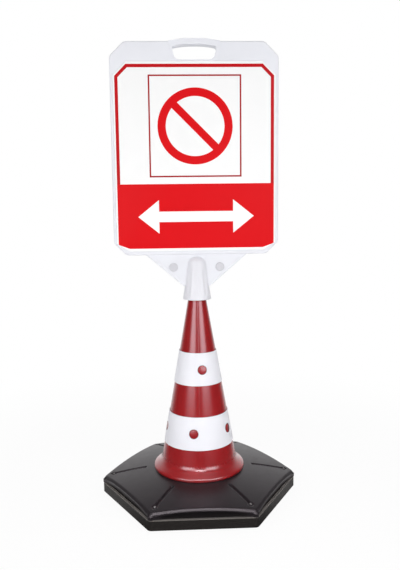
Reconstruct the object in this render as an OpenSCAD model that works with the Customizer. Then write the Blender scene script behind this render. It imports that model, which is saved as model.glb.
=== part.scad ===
// Portable road sign on a traffic cone: a weighted hexagonal base, a tapered cone with two
// white sleeves, and a hollow two-shell board whose socket drops over the cone's tip.
// Millimetres, Z up, origin on the ground under the cone's axis, the board's front towards -Y.

/* [Base] */
// Width of the base across its corners
base_across_corners = 450; // [430:5:480]
// Radius of the base's upright corners
base_corner_r = 10; // [8:1:14]
// How far the rubber pads stand out under the tray
pad_proud = 2; // [1:0.5:3]
// Thickness of a rubber pad
pad_t = 4; // [3.5:0.5:5]
// Diameter of a rubber pad
pad_d = 30; // [20:1:40]
// Distance of the rubber pads' centres in from the tray's sides
pad_inset = 35; // [30:1:55]
// Height of the tray's rim above the ground
tray_rim_z = 24; // [22:1:28]
// Thickness of the tray's floor
tray_floor_t = 4.5; // [4:0.5:6]
// Width of the ledge that the tray shows outside the cover
ledge_w = 3; // [1:0.5:5]
// Wall thickness of the cover
cover_wall = 3; // [2.5:0.5:4]
// Height of the cover's corners above the ground
cover_corner_z = 38; // [33:1:42]
// Radius of the dome that forms the cover's top
dome_r = 910; // [600:10:1000]
// Rounding along the cover's arched edges
cover_edge_r = 6; // [3:0.5:7]
// Depth of the locating lip that hangs inside the tray
lip_h = 6; // [4:0.5:8]
// Thickness of the locating lip
lip_t = 2; // [1.5:0.5:3]

/* [Base grooves] */
// Distance from the cone's foot out to a groove's inner end
groove_start = 19; // [12:1:37]
// Distance of a groove's outer end and its dimple in from the base's corner
groove_end_inset = 20; // [17:1:35]
// Width of a groove
groove_w = 4.5; // [3:0.5:7]
// Depth of a groove
groove_depth = 1.6; // [1:0.1:2]
// Diameter of the dimple at a groove's outer end
dimple_d = 9; // [7:0.5:12]

/* [Ballast] */
// Gap round the ballast block inside the cover's lip
ballast_gap = 10.5; // [6.5:0.5:26.5]
// Thickness of the ballast block
ballast_t = 29; // [20:1:31]
// Rounding of the ballast block's upper edge
ballast_edge = 5; // [2:1:8]

/* [Cone] */
// Height of the cone from its seat on the cover to its tip
cone_h = 436; // [420:2:450]
// Outer diameter at the tip
cone_tip_d = 25.5; // [24:0.5:28]
// Outer diameter where the straight wall meets the flared foot
cone_foot_d = 171; // [158:1:174]
// Height of the flared foot
flare_h = 24; // [20:1:36]
// Outer diameter of the flared foot
flange_d = 209; // [202:1:214]
// Height of the foot's upright lip
flange_lip_h = 6.5; // [5:0.5:12]
// Wall thickness of the cone
cone_wall = 3; // [2.5:0.25:3.5]
// Rounding where the wall turns into the foot
flare_inner_r = 4; // [3:1:12]
// Rounding over the foot's shoulder
flare_outer_r = 6; // [4:1:16]

/* [Sleeves] */
// Thickness of a sleeve
sleeve_t = 1.2; // [1:0.1:1.6]
// Height of the lower sleeve's bottom edge above the cone's seat
lower_sleeve_z = 64; // [46:1:70]
// Height of the lower sleeve
lower_sleeve_h = 72; // [60:1:90]
// Height of the lower sleeve's holes above its bottom edge
lower_hole_h = 36; // [25:1:48]
// Height of the upper sleeve's bottom edge above the cone's seat
upper_sleeve_z = 204; // [180:1:210]
// Height of the upper sleeve
upper_sleeve_h = 72; // [60:1:86]
// Height of the upper sleeve's holes above its bottom edge
upper_hole_h = 35; // [25:1:48]
// Diameter of the locating holes in the sleeves
sleeve_hole_d = 20; // [14:1:24]
// Number of locating holes in the lower sleeve
lower_holes = 5; // [3:1:6]
// Number of locating holes in the upper sleeve
upper_holes = 3; // [2:1:4]
// Turn of the lower sleeve's first hole from the front
lower_hole_turn = -11; // [-30:1:30]
// Turn of the upper sleeve's first hole from the front
upper_hole_turn = 9; // [-30:1:30]

/* [Socket] */
// Height of the cone's tip above the socket's mouth
tip_engage = 43; // [40:1:45]
// Outer diameter of the socket's mouth
socket_mouth_d = 64; // [62:1:70]
// Outer diameter of the socket's waist
socket_waist_d = 50; // [50:1:56]
// Height of the waist above the mouth
socket_waist_h = 40; // [38:1:44]
// Outer diameter at the top of the socket
socket_top_d = 38; // [34:1:42]
// Height of the socket's rounded top above the mouth
socket_top_h = 88; // [80:1:92]
// Wall thickness of the socket
socket_wall = 3; // [2:0.25:3.25]
// Gap between the bush and the socket's wall
bush_gap = 1; // [0.5:0.1:1.6]
// Height of the bush's lower end above the mouth
bush_z = 12; // [10:1:14]
// Thickness of the bush's closed end over the cone's tip
bush_end_t = 11; // [6:1:13]
// Chamfer round the bush's closed end
bush_chamfer = 2; // [1:0.5:3]
// Depth of the groove in which the socket's web runs
bush_groove_depth = 2.8; // [2:0.1:3.4]
// Height of the web above the mouth
web_z = 22; // [20:0.5:26]
// Thickness of the web
web_t = 3; // [2:0.5:4]
// Diameter of the hole through the bush's closed end
bush_vent_d = 10; // [6:1:14]

/* [Board] */
// Height from the socket's mouth to the board's bottom edge
neck_h = 101; // [98:1:112]
// Width of the board
board_w = 366; // [350:2:390]
// Height of the board without the handle's rise
board_h = 459; // [430:1:490]
// Thickness of the board over both shells
board_t = 22; // [20:1:26]
// Wall thickness of the shells
shell_wall = 2.5; // [2:0.25:3]
// Cut of the board's upper corners
top_cut = 31; // [24:1:36]
// Cut of the board's lower corners
bottom_cut = 27; // [22:1:30]
// Rounding of the board's corners
board_corner_r = 14; // [8:1:18]
// Rounding along the shells' outer edges
shell_edge_r = 3; // [1.5:0.5:3.5]
// Thickness of a stiffening rib
rib_t = 1.8; // [1.2:0.2:2.4]
// Number of upright stiffening ribs
upright_ribs = 4; // [2:1:6]
// Number of level stiffening ribs
level_ribs = 5; // [3:1:6]

/* [Handle] */
// Width of the handle's rise at its foot
rise_w = 116; // [110:1:130]
// Width of each sloping end of the rise
rise_ramp = 34; // [20:1:40]
// Height of the rise
rise_h = 5.5; // [3:0.5:8]
// Rounding between the rise's slopes and its flat top
rise_r = 80; // [20:5:100]
// Width of the hand hole at the top
hole_top_w = 98; // [88:1:102]
// Width of the hand hole at the bottom
hole_bottom_w = 83; // [66:1:84]
// Height of the hand hole
hole_h = 32; // [27:1:35]
// Drop of the arched upper edge at the hand hole's ends
hole_arch = 5; // [2:0.5:6]
// Rounding of the hand hole's upper corners
hole_high_r = 5; // [3:0.5:7]
// Rounding of the hand hole's lower corners
hole_low_r = 12; // [6:1:14]
// Distance from the board's top edge down to the hand hole
hole_drop = 6.5; // [4:0.5:11]
// Width of the raised rim round the hand hole
hole_rim_w = 4; // [3:0.5:4.5]
// Height of the raised rim round the hand hole
hole_rim_h = 1; // [0.5:0.25:1.5]

/* [Gusset] */
// Thickness of the gusset over both shells
gusset_t = 17; // [15:1:19]
// Width of the gusset at the board's bottom edge
gusset_top_w = 226; // [220:2:260]
// Width of the gusset at its lower end
gusset_bottom_w = 60; // [50:1:62]
// Height of the gusset's lower end above the mouth
gusset_z = 30; // [24:1:36]
// Spacing of the two rivets
rivet_spacing = 107; // [94:1:110]
// Height of the rivets above the mouth
rivet_z = 73; // [70:1:80]
// Diameter of a rivet's head
rivet_head_d = 19.5; // [14:0.5:22]
// Thickness of a rivet's head
rivet_head_h = 3; // [2:0.5:4]
// Diameter of a rivet's shank
rivet_d = 8; // [6:0.5:10]

/* [Label] */
// Margin of the board beside the label
label_side = 6.5; // [6.5:0.5:18]
// Margin between the label and the hand hole
label_gap = 3.5; // [1:0.5:33]
// Thickness of the label sheet
label_t = 1; // [0.5:0.1:1.2]
// Distance from the board's bottom edge up to the label
label_rise = 9; // [8:0.5:14]
// Cut of the label's upper corners
label_top_cut = 29; // [22:1:34]
// Width of the cut of the label's lower corners
label_bottom_cut_w = 28; // [26:1:32]
// Height of the cut of the label's lower corners
label_bottom_cut_h = 17; // [16:1:20]
// Rounding of the label's corners
label_corner_r = 3; // [1:0.5:5]

/* [Screws] */
// Shank diameter of the base and cone screws
screw_d = 4; // [3:0.5:5]
// Head diameter of the base and cone screws
screw_head_d = 8; // [7:0.5:9]
// Head height of the base and cone screws
screw_head_h = 2.4; // [2:0.1:2.6]
// Length of the tray screws under the head
tray_screw_l = 18; // [14:1:22]
// Distance of the tray screws in from the base's corners
tray_screw_inset = 25; // [22:1:31]
// Length of the cone screws under the head
cone_screw_l = 14; // [12:1:16]
// Distance of the cone screws in from the edge of the cone's foot
cone_screw_inset = 13; // [12:0.5:15]
// Shank diameter of the board screws
board_screw_d = 3.5; // [3:0.5:4]
// Head diameter of the board screws
board_screw_head_d = 7; // [6:0.5:8]
// Head height of the board screws
board_screw_head_h = 2.2; // [1.6:0.1:2.6]
// Length of the board screws under the head
board_screw_l = 11; // [9:1:12]
// Distance of the board screws in from the board's sides
board_screw_inset = 40; // [32:1:48]

/* [Hidden] */

$fn = 96;
// Clearance between pieces that slide or turn on each other
running_gap = 0.3;
// Clearance between pieces that are pushed together and stay
close_gap = 0.15;
// Overshoot of cutting shapes past the faces that they open
past = 1;
// Flats along each rounded corner of an outline
corner_steps = 5;
// Layers of a rounded edge
edge_steps = 3;
// Extra points along each side of the cover's rings
side_steps = 6;
// Rings between the cover's edge and its crown
dome_steps = 6;
// Share of the hand hole's upper edge that its arch takes up
arch_share = 0.9;
// Small rounding of an edge that isn't left sharp
edge_break = 0.4;
// Depth of a screw's head below the face that it is let into
head_sink = 0.4;
// Length of a screw boss below the wall that it hangs from
boss_drop = 2;
// Depth of the middle of a rounding under its sharp corner
arc_mid = 1 - cos(45);
// Wall around a screw in its boss
boss_wall = 2.6;

white = [0.93, 0.93, 0.95];
red = [0.62, 0.08, 0.08];
black = [0.11, 0.1, 0.11];
dull_black = [0.07, 0.06, 0.06];
steel = [0.7, 0.7, 0.72];
grey = [0.72, 0.72, 0.74];

// Base
sides = 6;
side_angle = 360 / sides;
tray_apothem = base_across_corners / 2 * cos(side_angle / 2);
tray_wall = ledge_w + cover_wall;
tray_floor_z = pad_proud + tray_floor_t;
cover_apothem = tray_apothem - ledge_w;
cover_corner_reach = cover_apothem / cos(side_angle / 2);
cover_corner_r = base_corner_r - ledge_w;
cover_edge = min(cover_edge_r, cover_corner_z - tray_rim_z - lip_t);
lip_apothem = cover_apothem - cover_wall - running_gap;
ballast_r = lip_apothem - lip_t - ballast_gap;
pad_ring_r = tray_apothem - pad_inset;
tray_screw_r = base_across_corners / 2 - tray_screw_inset;
dome_centre_z = cover_corner_z - sqrt(dome_r ^ 2 - cover_corner_reach ^ 2);
dome_top_z = dome_centre_z + dome_r;
boss_r = screw_d / 2 + boss_wall;
tray_boss_h = 4;
tray_boss_z = tray_floor_z + tray_boss_h;
head_recess = screw_head_h + head_sink;

// Cone
flange_r = flange_d / 2;
groove_r0 = flange_r + groove_start;
groove_r1 = base_across_corners / 2 - groove_end_inset;
seat_z = dome_z(flange_r);
tip_z = seat_z + cone_h;
tip_r = cone_tip_d / 2;
foot_z = seat_z + flare_h;
taper = (cone_foot_d / 2 - tip_r) / (tip_z - foot_z);
wall_angle = atan(taper);
flare_slope = (flare_h - flange_lip_h) / (flange_r - cone_foot_d / 2);
cone_screw_r = flange_r - cone_screw_inset;
cone_boss_z = dome_z(cone_screw_r) - cover_wall - boss_drop;
cone_screw_tip = cone_boss_z + cone_screw_l;
foot_boss_top = seat_z + flange_lip_h + (cone_screw_inset - boss_r) * flare_slope - cone_wall / 3;

// Sign
mouth_z = tip_z - tip_engage;
socket_r = [socket_mouth_d, socket_waist_d, socket_top_d] / 2;
socket_crown = 8;
bush_top = tip_engage + bush_end_t;
groove_floor_r = hollow_r(web_z + web_t) - bush_gap - bush_groove_depth;
board_z0 = mouth_z + neck_h;
board_z1 = board_z0 + board_h;
half_t = board_t / 2;
label_z0 = board_z0 + label_rise;
label_w = board_w - 2 * label_side;
label_h = board_h - hole_drop - hole_h - label_gap - label_rise;
face_depth = half_t - label_t;
pocket_depth = face_depth - shell_wall;
gusset_depth = gusset_t / 2 - shell_wall;
gusset_root = 10;
hole_z1 = board_z1 - hole_drop;
hole_z0 = hole_z1 - hole_h;
board_screw_x = board_w / 2 - board_screw_inset;
board_screw_zs = [for (k = [0:2]) label_z0 + label_h * (2 * k + 1) / 6];
board_boss_r = board_screw_head_d / 2 + boss_wall;
rivet_boss_r = rivet_d / 2 + boss_wall;

function unit(v) = v / norm(v);
function turned(v, a) = [v[0] * cos(a) - v[1] * sin(a), v[0] * sin(a) + v[1] * cos(a)];

// Height of the cover's domed top at a distance from the axis
function dome_z(r) = dome_centre_z + sqrt(dome_r ^ 2 - r ^ 2);

// Outer radius of the cone's straight wall at a height
function cone_r(z) = tip_r + (tip_z - z) * taper;

// Inner radius of the socket at a height above its mouth
function hollow_r(h) =
    lookup(h, [[0, socket_r[0]], [socket_waist_h, socket_r[1]],
               [socket_top_h - socket_wall - socket_crown / 2, socket_r[2]]]) - socket_wall;

// Arc that rounds the corner p between its neighbours a and b
function corner_arc(a, p, b, r) =
    let (u = unit(a - p), v = unit(b - p),
         half = acos(u * v) / 2,
         centre = p + unit(u + v) * r / sin(half),
         spoke = p + u * r / tan(half) - centre,
         sweep = (180 - 2 * half) * sign(u[1] * v[0] - u[0] * v[1]))
    [for (i = [0:corner_steps]) centre + turned(spoke, sweep * i / corner_steps)];

// Outline with each corner rounded to the radius listed for it
function rounded(points, radii) =
    let (n = len(points))
    [for (i = [0:n - 1]) each corner_arc(points[(i + n - 1) % n], points[i],
                                         points[(i + 1) % n], radii[i])];

function same(r, n) = [for (i = [1:n]) r];

// Outline on the right mirrored to the left, in order all the way round
function mirrored(right) =
    concat(right, [for (i = [len(right) - 1:-1:0]) [-right[i][0], right[i][1]]]);

// Rounded hexagon, each side split by a number of extra points
function hexagon(apothem, corner, extra = 0) =
    let (arcs = rounded([for (i = [0:sides - 1])
                            turned([apothem / cos(side_angle / 2), 0], side_angle * i)],
                        same(corner, sides)),
         n = corner_steps + 1)
    [for (i = [0:len(arcs) - 1])
        let (next = arcs[(i + 1) % len(arcs)])
        each concat([arcs[i]], i % n == n - 1
            ? [for (j = [1:1:extra]) arcs[i] + (next - arcs[i]) * j / (extra + 1)]
            : [])];

// Hexagonal ring that follows the cover's dome at a depth below it
function dome_ring(apothem, corner, extra, depth) =
    [for (p = hexagon(apothem, corner, extra)) [p[0], p[1], dome_z(norm(p)) - depth]];

// Hexagonal ring at one height
function level_ring(apothem, corner, extra, z) =
    [for (p = hexagon(apothem, corner, extra)) [p[0], p[1], z]];

function cut_after(cut, inset) = cut - inset * (2 - sqrt(2));

function board_outline(inset) =
    let (x = board_w / 2 - inset, z0 = board_z0 + inset, z1 = board_z1 - inset,
         low = cut_after(bottom_cut, inset), high = cut_after(top_cut, inset))
    rounded(mirrored([[x - low, z0], [x, z0 + low], [x, z1 - high], [x - high, z1]]),
            same(max(board_corner_r - inset, past), 8));

function rise_outline(inset) =
    let (x = rise_w / 2 - inset, z = board_z1 + rise_h - inset)
    rounded(mirrored([[x, hole_z1], [x, board_z1 - inset], [x - rise_ramp, z]]),
            [past, past, rise_r, rise_r, past, past]);

function hole_outline(grow) =
    let (low = hole_bottom_w / 2 + grow, high = hole_top_w / 2 + grow, mid = hole_top_w / 4,
         z0 = hole_z0 - grow, z1 = hole_z1 + grow,
         arch_r = arch_share * (mid - hole_high_r) / tan(atan(hole_arch / mid) / 2))
    rounded(mirrored([[low, z0], [high, z1 - hole_arch], [mid, z1]]),
            [for (r = [hole_low_r, hole_high_r, arch_r, arch_r, hole_high_r, hole_low_r]) r + grow]);

function gusset_outline(inset) =
    let (high = gusset_top_w / 2 - inset, low = gusset_bottom_w / 2 - inset,
         z0 = mouth_z + gusset_z + inset, z1 = board_z0)
    rounded(mirrored([[low, z0], [high, z1], [high, z1 + gusset_root]]), same(past, 6));

function label_outline(grow) =
    let (x = label_w / 2 + grow, z0 = label_z0 - grow, z1 = label_z0 + label_h + grow)
    rounded(mirrored([[x - label_bottom_cut_w, z0], [x, z0 + label_bottom_cut_h],
                      [x, z1 - label_top_cut], [x - label_top_cut, z1]]),
            same(label_corner_r, 8));

// Flat outline in X and Z that is thickened towards the front
module plate(depth) {
    rotate([90, 0, 0])
        linear_extrude(depth)
            children();
}

// Plate with a rounded front edge, its outline drawn by the child at each inset
module soft_plate(depth) {
    hull()
        for (k = [0:edge_steps])
            let (a = 90 * k / edge_steps, $inset = shell_edge_r * (1 - cos(a)))
                plate(depth - shell_edge_r * (1 - sin(a)))
                    children();
}

// Everything in front of the plane where the two shells meet
module front_half() {
    reach = socket_mouth_d;
    intersection() {
        children();
        translate([-reach, -reach, mouth_z - reach])
            cube([2 * reach, reach, 4 * reach]);
    }
}

module ring_of(count, turn = 0) {
    for (i = [0:count - 1])
        rotate(turn + 360 * i / count)
            children();
}

module on_sides(x) {
    for (s = [-1, 1])
        translate([s * x, 0, 0])
            children();
}

module pan_screw(d, head_d, head_h, length) {
    translate([0, 0, -head_h])
        cylinder(d = head_d, h = head_h);
    cylinder(d = d, h = length);
}

// Solid under a dome that lies above or below the cover's top, its seam off the corners
module dome_solid(rise) {
    rotate(side_angle / 4)
        rotate_extrude($fn = 360)
            intersection() {
                translate([0, dome_centre_z])
                    circle(dome_r + rise, $fn = 720);
                translate([0, pad_proud])
                    square([base_across_corners, dome_top_z + past]);
            }
}

module hex_prism(apothem, corner, z0, z1) {
    translate([0, 0, z0])
        linear_extrude(z1 - z0)
            polygon(hexagon(apothem, corner));
}

// Tray: the straight skirt at the ground, its floor, and bosses under the cover's own
module base_tray() {
    color(dull_black)
    difference() {
        union() {
            difference() {
                hex_prism(tray_apothem, base_corner_r, pad_proud, tray_rim_z);
                hex_prism(tray_apothem - tray_wall, max(base_corner_r - tray_wall, past),
                          tray_floor_z, tray_rim_z + past);
            }
            ring_of(sides)
                translate([tray_screw_r, 0, pad_proud])
                    cylinder(r = boss_r, h = tray_boss_z - pad_proud);
        }
        ring_of(sides)
            translate([tray_screw_r, 0, 0]) {
                cylinder(d = screw_d + 2 * running_gap, h = tray_boss_z + past);
                cylinder(d = screw_head_d + 2 * running_gap, h = pad_proud + head_recess);
            }
        ring_of(sides, side_angle / 2)
            translate([pad_ring_r, 0, 0])
                cylinder(d = pad_d + 2 * close_gap, h = pad_t);
    }
}

// Grooves that run out to the corners, each with a dimple at its outer end
module corner_grooves() {
    difference() {
        ring_of(sides)
            translate([groove_r0, -groove_w / 2, cover_corner_z])
                cube([groove_r1 - groove_r0, groove_w, dome_top_z]);
        dome_solid(-groove_depth);
    }
    ring_of(sides)
        translate([groove_r1, 0, dome_z(groove_r1) - groove_depth])
            cylinder(d = dimple_d, h = dome_top_z);
}

// Hexagon under the dome, lofted from a foot at z0 over its rounded arched edges to the crown
module domed_hexagon(inset, edge_r, z0, extra, steps) {
    apothem = cover_apothem - inset;
    corner = max(cover_corner_r - inset, past);
    rings = concat(
        [level_ring(apothem, corner, extra, z0)],
        [for (k = [edge_r > 0 ? 0 : edge_steps:edge_steps])
            let (a = 90 * k / edge_steps, back = edge_r * (1 - cos(a)))
            dome_ring(apothem - back, max(corner - back, past), extra,
                      inset + edge_r * (1 - sin(a)))],
        [for (k = [1:steps - 1])
            dome_ring((apothem - edge_r) * (1 - k / steps), past, extra, inset)]);
    n = len(rings[0]);
    crown = n * len(rings);
    polyhedron(concat([for (ring = rings) each ring], [[0, 0, dome_top_z - inset]]),
               concat([[for (i = [0:n - 1]) i]],
                      [for (k = [0:len(rings) - 2]) for (i = [0:n - 1])
                          let (a = k * n + i, b = k * n + (i + 1) % n)
                          each [[a, b + n, b], [a, a + n, b + n]]],
                      [for (i = [0:n - 1]) [crown - n + i, crown, crown - n + (i + 1) % n]]));
}

// Cover: hexagonal shell with a domed top, arched edges and a lip inside the tray
module base_cover() {
    inner = cover_apothem - cover_wall;
    inner_corner = max(cover_corner_r - cover_wall, past);
    color(black)
    difference() {
        union() {
            difference() {
                domed_hexagon(0, cover_edge, tray_rim_z, side_steps, dome_steps);
                domed_hexagon(cover_wall, 0, pad_proud, side_steps / 2, dome_steps);
            }
            difference() {
                union() {
                    hex_prism(lip_apothem, inner_corner, tray_rim_z - lip_h, tray_rim_z + lip_t);
                    hex_prism(inner + running_gap, inner_corner, tray_rim_z, tray_rim_z + lip_t);
                }
                hex_prism(lip_apothem - lip_t, inner_corner, pad_proud, dome_top_z);
            }
            intersection() {
                union() {
                    ring_of(sides)
                        translate([tray_screw_r, 0, tray_boss_z])
                            cylinder(r = boss_r, h = dome_top_z);
                    ring_of(sides)
                        translate([cone_screw_r, 0, cone_boss_z])
                            cylinder(d = screw_head_d + 2 * boss_wall, h = dome_top_z);
                }
                dome_solid(-cover_wall / 2);
            }
        }
        corner_grooves();
        ring_of(sides) {
            translate([tray_screw_r, 0, tray_boss_z - past])
                cylinder(d = screw_d + 2 * close_gap,
                         h = min(tray_screw_l, dome_z(tray_screw_r) - groove_depth - tray_boss_z));
            translate([cone_screw_r, 0, cone_boss_z - past])
                cylinder(d = screw_d + 2 * running_gap, h = dome_top_z);
        }
    }
}

// Concrete disc that weighs the base down
module ballast_block() {
    r = ballast_r;
    color("gray")
    translate([0, 0, tray_floor_z])
        rotate_extrude()
            polygon([[0, 0], [r, 0], [r, ballast_t - ballast_edge],
                     [r - ballast_edge * arc_mid, ballast_t - ballast_edge * arc_mid],
                     [r - ballast_edge, ballast_t], [0, ballast_t]]);
}

// Rubber pads let into the tray's underside
module foot_pads() {
    color([0.05, 0.05, 0.05])
    ring_of(sides, side_angle / 2)
        translate([pad_ring_r, 0, 0])
            cylinder(d = pad_d, h = pad_t);
}

// Screws from under the tray into the cover's corner bosses
module tray_screws() {
    color(steel)
    ring_of(sides)
        translate([tray_screw_r, 0, pad_proud + head_recess])
            pan_screw(screw_d, screw_head_d, screw_head_h, tray_screw_l);
}

// Cone: thin tapered shell on a flared foot, with studs that key the sleeves
module cone_body() {
    shoulder_z = seat_z + flange_lip_h;
    drop = cone_wall * arc_mid;
    outer = [[flange_r, seat_z - past], [flange_r, shoulder_z], [cone_foot_d / 2, foot_z],
             [tip_r, tip_z]];
    inner = [[tip_r - cone_wall, tip_z], [cone_foot_d / 2 - cone_wall, foot_z - drop],
             [flange_r - cone_wall, shoulder_z - drop], [flange_r - cone_wall, seat_z - past]];
    color(red)
    difference() {
        union() {
            rotate_extrude()
                polygon(rounded(concat(outer, inner),
                                [edge_break, flare_outer_r, flare_inner_r, 2 * edge_break,
                                 edge_break, flare_inner_r + cone_wall, flare_outer_r - cone_wall,
                                 edge_break]));
            ring_of(sides)
                translate([cone_screw_r, 0, seat_z - past])
                    cylinder(r = boss_r, h = foot_boss_top - seat_z + past);
            sleeve_studs(lower_sleeve_z + lower_hole_h, lower_holes, lower_hole_turn);
            sleeve_studs(upper_sleeve_z + upper_hole_h, upper_holes, upper_hole_turn);
        }
        dome_solid(close_gap);
        ring_of(sides)
            translate([cone_screw_r, 0, seat_z - past])
                cylinder(d = screw_d + 2 * close_gap,
                         h = cone_screw_tip + running_gap - seat_z + past);
    }
}

// Places its child on the cone's surface behind each locating hole of a sleeve, facing outwards
module at_sleeve_holes(z, holes, turn) {
    hole_z = seat_z + z;
    ring_of(holes, turn - 90)
        translate([cone_r(hole_z), 0, hole_z])
            rotate([0, 90 - wall_angle, 0])
                children();
}

module sleeve_studs(z, holes, turn) {
    at_sleeve_holes(z, holes, turn)
        translate([0, 0, -cone_wall / 2])
            cylinder(d = sleeve_hole_d - 2 * running_gap, h = cone_wall / 2 + sleeve_t);
}

// Screws from inside the cover into the cone's foot
module cone_screws() {
    color(steel)
    ring_of(sides)
        translate([cone_screw_r, 0, cone_boss_z])
            pan_screw(screw_d, screw_head_d, screw_head_h, cone_screw_l);
}

// Conical sleeve with round holes over the cone's studs
module sleeve(z, h, hole_h, holes, turn) {
    z0 = seat_z + z;
    z1 = z0 + h;
    fit = close_gap / cos(wall_angle);
    t = sleeve_t / cos(wall_angle);
    color(white)
    difference() {
        rotate_extrude()
            polygon([[cone_r(z0) + fit, z0], [cone_r(z0) + fit + t, z0],
                     [cone_r(z1) + fit + t, z1], [cone_r(z1) + fit, z1]]);
        at_sleeve_holes(z + hole_h, holes, turn)
            translate([0, 0, -sleeve_hole_d / 2])
                cylinder(d = sleeve_hole_d, h = sleeve_hole_d);
    }
}

module lower_sleeve() {
    sleeve(lower_sleeve_z, lower_sleeve_h, lower_hole_h, lower_holes, lower_hole_turn);
}

module upper_sleeve() {
    sleeve(upper_sleeve_z, upper_sleeve_h, upper_hole_h, upper_holes, upper_hole_turn);
}

// Bush: fills the socket, grips the cone's tip inside, and lets the socket's web run in a groove
module socket_bush() {
    function outside(h) = [hollow_r(h) - bush_gap, mouth_z + h];
    fit = running_gap / cos(wall_angle);
    z0 = mouth_z + bush_z;
    seat_top = tip_z + running_gap;
    groove_z0 = web_z - running_gap;
    groove_z1 = web_z + web_t + running_gap;
    crown = outside(bush_top);
    color("dimgray")
    rotate_extrude()
        polygon([[cone_r(z0) + fit, z0], outside(bush_z),
                 outside(groove_z0), [groove_floor_r, mouth_z + groove_z0],
                 [groove_floor_r, mouth_z + groove_z1], outside(groove_z1),
                 outside(socket_waist_h), [crown[0], crown[1] - bush_chamfer],
                 [crown[0] - bush_chamfer, crown[1]], [bush_vent_d / 2, crown[1]],
                 [bush_vent_d / 2, seat_top], [cone_r(seat_top) + fit, seat_top]]);
}

// Outside of the socket, or its hollow when the wall is taken off
module socket_form(inset, z0) {
    top_z = mouth_z + socket_top_h - inset;
    mouth_slope = (socket_r[0] - socket_r[1]) / socket_waist_h;
    rotate_extrude()
        polygon([[0, z0], [socket_r[0] - inset + (mouth_z - z0) * mouth_slope, z0],
                 [socket_r[1] - inset, mouth_z + socket_waist_h],
                 [socket_r[2] - inset, top_z - socket_crown / 2],
                 [socket_r[2] / 2, top_z + socket_crown / 2], [0, top_z + socket_crown / 2]]);
}

// Web inside the socket that runs in the bush's groove
module socket_web() {
    difference() {
        intersection() {
            socket_form(socket_wall / 2, mouth_z);
            translate([0, 0, mouth_z + web_z])
                cylinder(d = socket_mouth_d, h = web_t);
        }
        translate([0, 0, mouth_z])
            cylinder(r = groove_floor_r + running_gap, h = socket_top_h);
    }
}

module board_ribs() {
    for (i = [1:upright_ribs])
        translate([-board_w / 2 + board_w * i / (upright_ribs + 1) - rib_t / 2, 0, board_z0])
            cube([rib_t, pocket_depth + past, board_h]);
    for (i = [1:level_ribs])
        translate([-board_w / 2, 0, board_z0 + board_h * i / (level_ribs + 1) - rib_t / 2])
            cube([board_w, pocket_depth + past, rib_t]);
}

module at_board_screws() {
    for (z = board_screw_zs)
        on_sides(board_screw_x)
            translate([0, 0, z])
                rotate([90, 0, 0])
                    children();
}

module at_rivets() {
    on_sides(rivet_spacing / 2)
        translate([0, 0, mouth_z + rivet_z])
            rotate([90, 0, 0])
                children();
}

// Hollow inside one shell, between its face and the plane where the shells meet
module shell_hollow() {
    difference() {
        translate([0, past, 0])
            plate(pocket_depth + past)
                difference() {
                    polygon(board_outline(shell_wall));
                    polygon(hole_outline(shell_wall));
                    translate([-board_w / 2, hole_z0 - shell_wall])
                        square([board_w, board_h]);
                }
        translate([0, -pocket_depth - past, 0])
            board_ribs();
        at_board_screws()
            cylinder(r = board_boss_r, h = half_t);
    }
    difference() {
        translate([0, past, 0])
            plate(gusset_depth + past)
                polygon(gusset_outline(shell_wall));
        translate([-board_w / 2, -board_t, board_z0 - shell_wall])
            cube([board_w, 2 * board_t, board_h]);
        at_rivets()
            cylinder(r = rivet_boss_r, h = board_t);
        socket_form(0, mouth_z);
    }
}

// Front half of the board's hollow casing: face, handle, gusset and half of the socket
module shell() {
    difference() {
        union() {
            soft_plate(half_t)
                polygon(board_outline($inset));
            soft_plate(half_t)
                polygon(rise_outline($inset));
            soft_plate(gusset_t / 2)
                polygon(gusset_outline($inset));
            plate(half_t + hole_rim_h)
                polygon(hole_outline(hole_rim_w));
            front_half()
                socket_form(0, mouth_z);
        }
        shell_hollow();
        socket_form(socket_wall, mouth_z - past);
        translate([0, half_t, 0])
            plate(2 * board_t)
                polygon(hole_outline(0));
        translate([0, -face_depth, 0])
            plate(board_t)
                polygon(label_outline(running_gap));
        at_rivets()
            translate([0, 0, -past])
                cylinder(d = rivet_d + 2 * close_gap, h = board_t);
    }
    front_half()
        socket_web();
}

module front_shell() {
    color(white)
    difference() {
        shell();
        at_board_screws()
            translate([0, 0, -past])
                cylinder(d = board_screw_d + 2 * close_gap, h = pocket_depth + past);
    }
}

module rear_shell() {
    head_floor = face_depth - board_screw_head_h - running_gap;
    color(white)
    mirror([0, 1, 0])
        difference() {
            shell();
            at_board_screws() {
                translate([0, 0, -past])
                    cylinder(d = board_screw_d + 2 * running_gap, h = board_t);
                translate([0, 0, head_floor])
                    cylinder(d = board_screw_head_d + 2 * running_gap, h = board_t);
            }
        }
}

// Printed sheet let into the front face
module front_label() {
    color("white")
    translate([0, -face_depth, 0])
        plate(label_t)
            polygon(label_outline(0));
}

// Wide-headed rivets that hold the shells together at the gusset
module gusset_rivets() {
    r = rivet_head_d / 2;
    color(grey)
    at_rivets() {
        translate([0, 0, -gusset_t / 2])
            cylinder(d = rivet_d, h = gusset_t);
        for (s = [0, 1])
            mirror([0, 0, s])
                translate([0, 0, gusset_t / 2])
                    rotate_extrude()
                        polygon([[0, 0], [r, 0], [r, rivet_head_h / 3],
                                 [r * 0.8, rivet_head_h * 0.85], [0, rivet_head_h]]);
    }
}

// Screws from the back that draw the two shells together
module board_screws() {
    head_floor = face_depth - board_screw_head_h - running_gap;
    color(steel)
    at_board_screws()
        translate([0, 0, -head_floor])
            pan_screw(board_screw_d, board_screw_head_d, board_screw_head_h, board_screw_l);
}

base_tray();
base_cover();
ballast_block();
foot_pads();
tray_screws();
cone_body();
cone_screws();
lower_sleeve();
upper_sleeve();
socket_bush();
front_shell();
rear_shell();
front_label();
gusset_rivets();
board_screws();
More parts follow.
